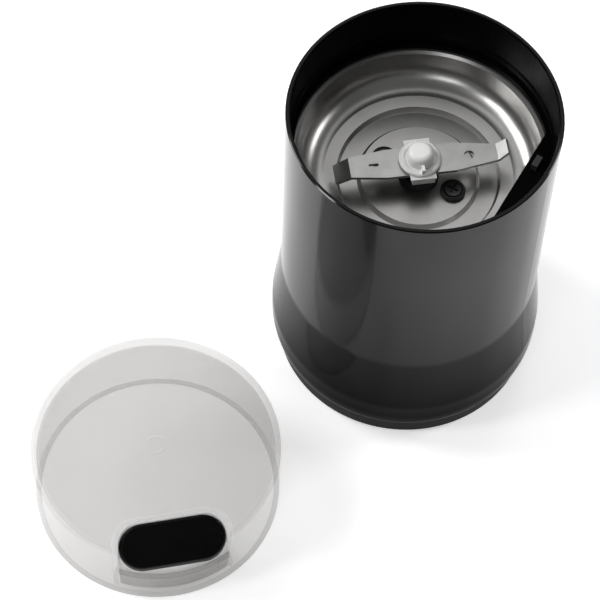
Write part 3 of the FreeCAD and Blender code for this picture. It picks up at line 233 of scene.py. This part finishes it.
looks = {
    "gloss_black": gloss_black(),
    "bowl_steel": spun_steel(),
    "zinc_steel": metal("zinc_steel_fine", (0.45, 0.45, 0.44), (0.60, 0.60, 0.59), 0.28),
    "cast_aluminium": metal(
        "cast_aluminium_grain", (0.48, 0.48, 0.49), (0.60, 0.60, 0.61),
        0.42, 1.2, None, 0.4),
    "core_steel": metal(
        "core_steel_sheets", (0.10, 0.10, 0.11), (0.18, 0.18, 0.19),
        0.45, 1.0, (0.05, 0.05, 2.0), 0.5),
    "copper_wire": metal(
        "copper_wire_wound", (0.42, 0.15, 0.06), (0.62, 0.27, 0.12),
        0.35, 0.8, (0.1, 0.1, 2.0), 0.6),
    "copper_bars": metal("copper_bars_turned", (0.60, 0.30, 0.16), (0.78, 0.44, 0.26), 0.25),
    "sintered_bronze": metal("sintered_bronze_fine", (0.42, 0.27, 0.13), (0.55, 0.38, 0.20), 0.4),
    "black_rubber": plastic(
        "black_rubber_matte", (0.010, 0.010, 0.010), (0.020, 0.020, 0.020),
        0.55, 0.7, 0.3),
    "black_plastic": plastic(
        "black_plastic_grained", (0.012, 0.012, 0.012), (0.022, 0.022, 0.022),
        0.38, 0.5, 0.3),
    "white_plastic": plastic("white_plastic_moulded", (0.78, 0.78, 0.76), (0.86, 0.86, 0.84), 0.30),
    "grey_plastic": plastic("grey_plastic_moulded", (0.40, 0.40, 0.40), (0.47, 0.47, 0.47), 0.40),
    "dark_grey_plastic": plastic(
        "dark_grey_plastic_moulded", (0.007, 0.007, 0.007), (0.011, 0.011, 0.011),
        0.42, 0.5, 0.2, 0.0, 0.06),
    "clear_plastic": clear_plastic(),
    "carbon": plastic("carbon_pressed", (0.02, 0.02, 0.02), (0.04, 0.04, 0.04), 0.6),
}
own_looks = {
    "bowl_screws": metal("bowl_screws_darkened", (0.06, 0.06, 0.06), (0.10, 0.10, 0.10), 0.40),
    "grinding_blade": metal(
        "blade_steel_satin", (0.44, 0.44, 0.435), (0.52, 0.52, 0.51),
        0.36, 0.5, (1, 8, 1), 0.1),
    "button_pad": plastic(
        "button_black_grained", (0.0012, 0.0012, 0.0013), (0.0024, 0.0024, 0.0026),
        0.30, 0.6, 0.25, 0.0, 0.12),
    "blade_cap": plastic("cap_white_moulded", (0.84, 0.84, 0.83), (0.90, 0.90, 0.89), 0.35),
    "button_slider": plastic("slider_grey_moulded", (0.88, 0.875, 0.87), (0.92, 0.915, 0.91), 0.42),
}
for part in frame["record"]["subparts"]:
    for spot in nodes[part["node"]].material_slots:
        spot.material = own_looks.get(part["node"], looks[part["material_slot"]])


# Floor and light

def floor_look():
    m = Nodes("floor_white")
    seen = m.add("LightPath").outputs
    shiny = m.math("MAXIMUM", seen["Is Glossy Ray"], seen["Is Transmission Ray"])
    shown = m.math("MAXIMUM", seen["Is Camera Ray"], shiny)
    m.set(base_color=(0.92, 0.92, 0.92, 1), roughness=0.9, specular_ior_level=0.1,
          emission_color=(1, 1, 1, 1), emission_strength=m.math("MULTIPLY", shown, FLOOR_GLOW))
    return m.material


mesh = bpy.data.meshes.new("floor")
half = 3.0
corners = [(-half, -half, 0), (half, -half, 0), (half, half, 0), (-half, half, 0)]
mesh.from_pydata(corners, [], [(0, 1, 2, 3)])
floor = bpy.data.objects.new("floor", mesh)
floor.location.z = -0.0002
mesh.materials.append(floor_look())
bpy.context.scene.collection.objects.link(floor)

world = bpy.data.worlds.new("studio")
bpy.context.scene.world = world
world.use_nodes = True
ground = world.node_tree.nodes["Background"]
ground.inputs["Color"].default_value = (1, 1, 1, 1)
ground.inputs["Strength"].default_value = 0.16


def lamp(name, place, aim, size, power):
    data = bpy.data.lights.new(name, "AREA")
    data.shape = "RECTANGLE"
    data.size = data.size_y = size
    data.energy = power
    item = bpy.data.objects.new(name, data)
    bpy.context.scene.collection.objects.link(item)
    item.location = place
    item.rotation_euler = (Vector(aim) - Vector(place)).to_track_quat("-Z", "Y").to_euler()


AXIS = (0, 0, 0.08)
lamp("key", (-1.05, 0.30, 0.85), AXIS, 0.55, 11.0)
lamp("back", (0.35, 1.30, 0.80), AXIS, 0.6, 3.6)
lamp("top", (-0.12, 0.62, 1.30), AXIS, 1.0, 2.6)
lamp("fill", (1.10, 0.30, 0.65), AXIS, 0.4, 5.5)
lamp("front", (-0.45, -1.20, 0.75), (-0.05, 0, 0.04), 0.5, 2.4)
lamp("left", (-1.10, -0.38, 0.95), (0, 0, 0.10), 0.28, 4.8)
